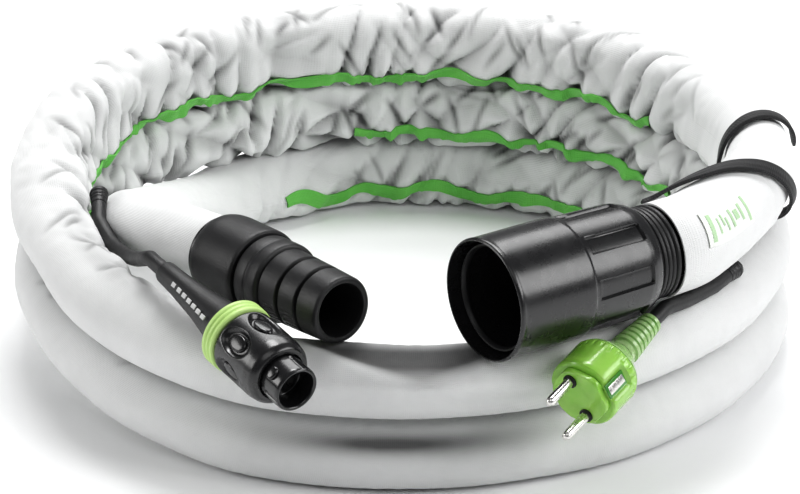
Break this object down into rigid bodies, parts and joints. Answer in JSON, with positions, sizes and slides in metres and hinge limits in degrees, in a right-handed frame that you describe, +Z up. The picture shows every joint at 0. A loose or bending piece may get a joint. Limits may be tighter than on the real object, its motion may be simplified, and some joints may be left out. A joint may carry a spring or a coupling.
{
  "type": "sleeved dust extraction hose",
  "caption": "Coiled dust extraction hose in a textile sleeve, with a wide extractor cuff, a stepped tool cuff, a twist-lock power connector and an earthed mains plug.",
  "frame": {"origin": "centre of the coiled hose's bounding box at the floor, measured without the free leads and what is on them", "axes": "+Z up along the coil's axis, -Y towards the front of the coil, where both cuffs lie, +X to the right as seen from the front"},
  "size_m": [0.3994, 0.4209, 0.132],
  "materials": {
    "fabric": "woven polyester",
    "hose": "ribbed",
    "green": "woven cord",
    "lime": "satin",
    "clear_green": "translucent",
    "plastic": "satin",
    "rubber": "matte",
    "webbing": "woven webbing",
    "steel": "nickel plated",
    "label": "printed patch"
  },
  "bodies": {
    "coil": {"hose_sleeve": "fabric", "suction_hose": "hose", "power_cable": "rubber", "seam_piping_upper": "green", "seam_piping_middle": "green", "seam_piping_lower": "green", "sleeve_label": "label", "tie_strap": "webbing", "extractor_insert": "plastic", "tool_insert": "plastic", "tool_retaining_ring": "plastic", "tool_lead_gland": "rubber", "tool_lead": "rubber", "connector_boot": "rubber", "connector_ring": "lime", "connector_socket": "plastic", "socket_contact_1": "steel", "socket_contact_2": "steel", "socket_contact_3": "steel", "mains_lead_gland": "rubber", "mains_lead": "rubber", "plug_strain_relief": "clear_green", "plug_body": "clear_green", "plug_face": "clear_green", "plug_pin_1": "steel", "plug_pin_2": "steel", "earth_clip_1": "steel", "earth_clip_2": "steel"},
    "extractor_swivel": {"extractor_cuff": "plastic", "extractor_seal": "rubber", "extractor_collar": "rubber"},
    "tool_swivel": {"tool_cuff_nose": "rubber", "tool_cuff_waist": "rubber", "tool_cuff_bell": "rubber"},
    "lock_collar_body": {"lock_collar": "plastic"}
  },
  "joints": [
    {"name": "extractor_cuff_swivel", "type": "hinge", "parent": "coil", "child": "extractor_swivel", "pos_m": [0.0356, -0.1761, 0.1022], "axis": [-0.8132, -0.5819, 0.012], "continuous": true},
    {"name": "tool_cuff_swivel", "type": "hinge", "parent": "coil", "child": "tool_swivel", "pos_m": [-0.0305, -0.1616, 0.0902], "axis": [0.6302, -0.7753, 0.042], "continuous": true},
    {"name": "lock_collar_twist", "type": "hinge", "parent": "coil", "child": "lock_collar_body", "pos_m": [-0.0796, -0.1741, 0.0828], "axis": [0.5722, -0.8043, -0.1601], "range_deg": [0, 45]}
  ]
}
